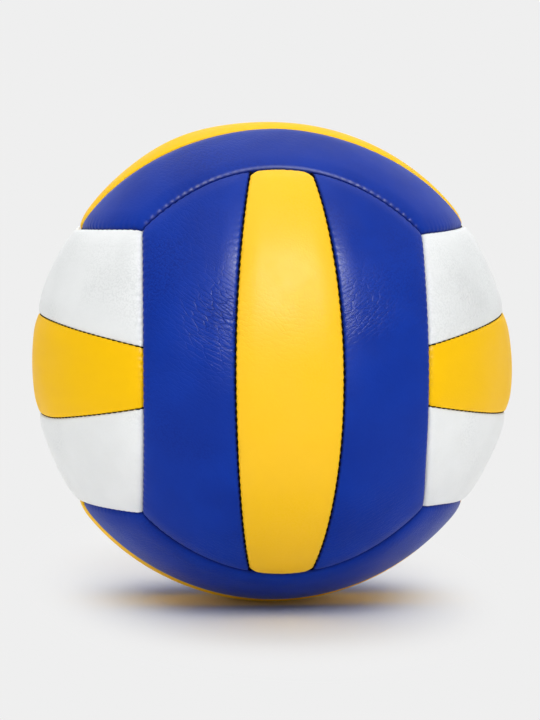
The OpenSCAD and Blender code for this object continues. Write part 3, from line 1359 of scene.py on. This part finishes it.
@dataclass
class Inside:
    """Layers and fittings whose plain solids already have their true shape."""

    finishes: Finishes
    nodes: dict[str, bpy.types.Object]
    record: dict[str, Any]

    def build(self) -> list[bpy.types.Object]:
        """Gives each node that nothing replaces the material of its slot.

        Returns:
            The nodes dressed.
        """
        shown = []
        for row in self.record["subparts"]:
            if not row["node"].startswith(("cover_", "foam_", "thread_")):
                shown.append(self.nodes[row["node"]])
                self.finishes.dress(shown[-1], row["material_slot"])
        return shown


@dataclass(frozen=True)
class Lamp:
    """A square soft lamp that faces the ball, with its angles in degrees and its power in watts.

    matt is whether it lights what isn't glossy, and glossy whether it is mirrored in a gloss.
    """

    name: str
    azimuth: float
    elevation: float
    size: float
    power: float
    matt: bool = True
    glossy: bool = True


LAMPS = (
    Lamp("key", azimuth=3, elevation=44, size=0.9, power=9.5),
    Lamp("back", azimuth=180, elevation=62, size=1.1, power=14.0, glossy=False),
    Lamp("shine", azimuth=5, elevation=41, size=0.38, power=100.0, matt=False),
)


@dataclass
class Studio:
    """Pale floor, plain backdrop, soft lamps and the camera.

    camera_radii is the camera's distance in radii of the ball, and centre_below how many pixels
    below the picture's middle the ball's centre lies. Angles are in degrees.
    """

    ball: BallSizes
    backdrop: Paint = rgb(239, 239, 239)
    floor_colour: Paint = (0.95, 0.95, 0.95, 1.0)
    floor_shown: Paint = (0.78, 0.78, 0.78, 1.0)
    floor_glow: float = 0.02
    floor_roughness: float = 0.7
    floor_size: float = 12.0
    fade_start: float = 0.045
    fade_end: float = 0.107
    fade_depth: float = 3.0
    fade_back: float = 0.07
    horizon_strength: float = 0.42
    zenith_strength: float = 0.72
    camera_azimuth: float = -4.6
    camera_elevation: float = 4.6
    camera_radii: float = 19.7
    focal_pixels: float = 4721.0
    picture_height: float = 720.0
    sensor: float = 36.0
    clip_end: float = 60.0
    centre_below: float = 1.37
    lamp_distance: float = 1.6

    @staticmethod
    def facing(data: bpy.types.ID, azimuth: float, elevation: float, distance: float) -> bpy.types.Object:
        """Stands a lamp or a camera so that it faces the ball's centre.

        Args:
            data: The lamp or camera.
            azimuth: Angle round from the front towards +X.
            elevation: Angle up from level.
            distance: How far from the ball's centre it stands.

        Returns:
            Its object.
        """
        holder = bpy.data.objects.new(data.name, data)
        holder.location = distance * heading(azimuth, elevation)
        holder.rotation_euler = (math.radians(90 - elevation), 0, math.radians(azimuth))
        bpy.context.scene.collection.objects.link(holder)
        return holder

    def camera(self) -> None:
        """Puts the camera where the photograph was taken from."""
        distance = self.camera_radii * self.ball.radius
        lens = bpy.data.cameras.new("camera")
        lens.lens = self.focal_pixels * self.sensor / self.picture_height
        lens.sensor_width = self.sensor
        lens.clip_end = self.clip_end
        holder = self.facing(lens, self.camera_azimuth, self.camera_elevation, distance)
        holder.location[2] += self.centre_below / self.focal_pixels * distance
        bpy.context.scene.camera = holder

    def floor(self) -> None:
        """A pale matt floor, which is seen to turn into the backdrop away from the ball.

        It has turned by the smooth step from fade_start to fade_end of the length of
        (x, (y - fade_back) / fade_depth). Rays that aren't seen find it paler, with a faint glow.
        """
        half, z = self.floor_size / 2, -self.ball.radius
        corners = np.array([(-half, -half, z), (half, -half, z), (half, half, z), (-half, half, z)])
        made = mesh_object("floor", corners, [np.array([[0, 1, 2, 3]])])
        n = MaterialNodes("floor")
        seen = n.seen()
        n.shade(
            Base_Color=n.mix_colour(seen, self.floor_colour, self.floor_shown),
            Emission_Strength=n.sum("MULTIPLY", n.sum("SUBTRACT", 1.0, seen), self.floor_glow),
            Roughness=self.floor_roughness,
            Specular_IOR_Level=0.0,
        )
        squeezed = n.put("VectorMath", {"operation": "MULTIPLY_ADD"}, n.add("TexCoord").outputs["Object"],
                         (1.0, 1 / self.fade_depth, 0.0), (0.0, -self.fade_back / self.fade_depth, 0.0))
        far = n.add("VectorMath", {"operation": "LENGTH"}, Vector=squeezed).outputs["Value"]
        faded = n.sum("MULTIPLY", n.ramp(far, self.fade_start, self.fade_end), seen)
        glow = n.add("Emission", Color=self.backdrop, Strength=1.0).outputs[0]
        n.join(n.put("MixShader", None, faded, n.shader.outputs[0], glow), n.output.inputs[0])
        made.data.materials.append(n.material)

    def world(self) -> None:
        """Light from all round, stronger from above, seen as the plain backdrop.

        Its strength goes from horizon_strength to zenith_strength with the height of its direction.
        """
        world = bpy.data.worlds.new("studio")
        world.use_nodes = True
        bpy.context.scene.world = world
        world.node_tree.nodes.clear()
        n = Nodes(world.node_tree)
        height = n.add("SeparateXYZ", Vector=n.add("TexCoord").outputs["Generated"]).outputs["Z"]
        climb = n.put("MapRange", None, height, 0.0, 1.0, self.horizon_strength, self.zenith_strength)
        light = n.add("Background", Color=(1, 1, 1, 1), Strength=climb).outputs[0]
        shown = n.add("Background", Color=self.backdrop, Strength=1.0).outputs[0]
        mixed = n.put("MixShader", None, n.seen(), light, shown)
        n.add("OutputWorld", Surface=mixed)

    def lamps(self) -> None:
        """Hangs the lamps round the ball."""
        for lamp in LAMPS:
            data = bpy.data.lights.new(lamp.name, "AREA")
            data.energy = lamp.power
            data.size = lamp.size
            holder = self.facing(data, lamp.azimuth, lamp.elevation, self.lamp_distance)
            holder.visible_diffuse = lamp.matt
            holder.visible_glossy = lamp.glossy

    def build(self) -> None:
        """Builds the studio and sets the plain view transform."""
        self.camera()
        self.floor()
        self.world()
        self.lamps()
        bpy.context.scene.view_settings.view_transform = "Standard"


def main() -> None:
    """Builds and reports the ball's pieces in order."""
    logging.basicConfig(level=logging.INFO, format="%(name)s: %(message)s")
    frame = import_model()
    ball = BallSizes(
        radius=-float(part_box("cover_front_middle")[0][1]),
        lining_radius=-float(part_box("lining_front_middle")[0][1]),
    )
    ripple, finishes = Ripple(), Finishes()
    pieces = Cover(ball, finishes, ripple, Creases()).build()
    pieces += Stitching(ball, finishes, ripple).build()
    pieces += Inside(finishes, frame["nodes"], frame["record"]).build()
    Studio(ball).build()
    for piece in pieces:
        LOG.info("%s: %d faces", piece.name, len(piece.data.polygons))


if __name__ == "__main__":
    main()
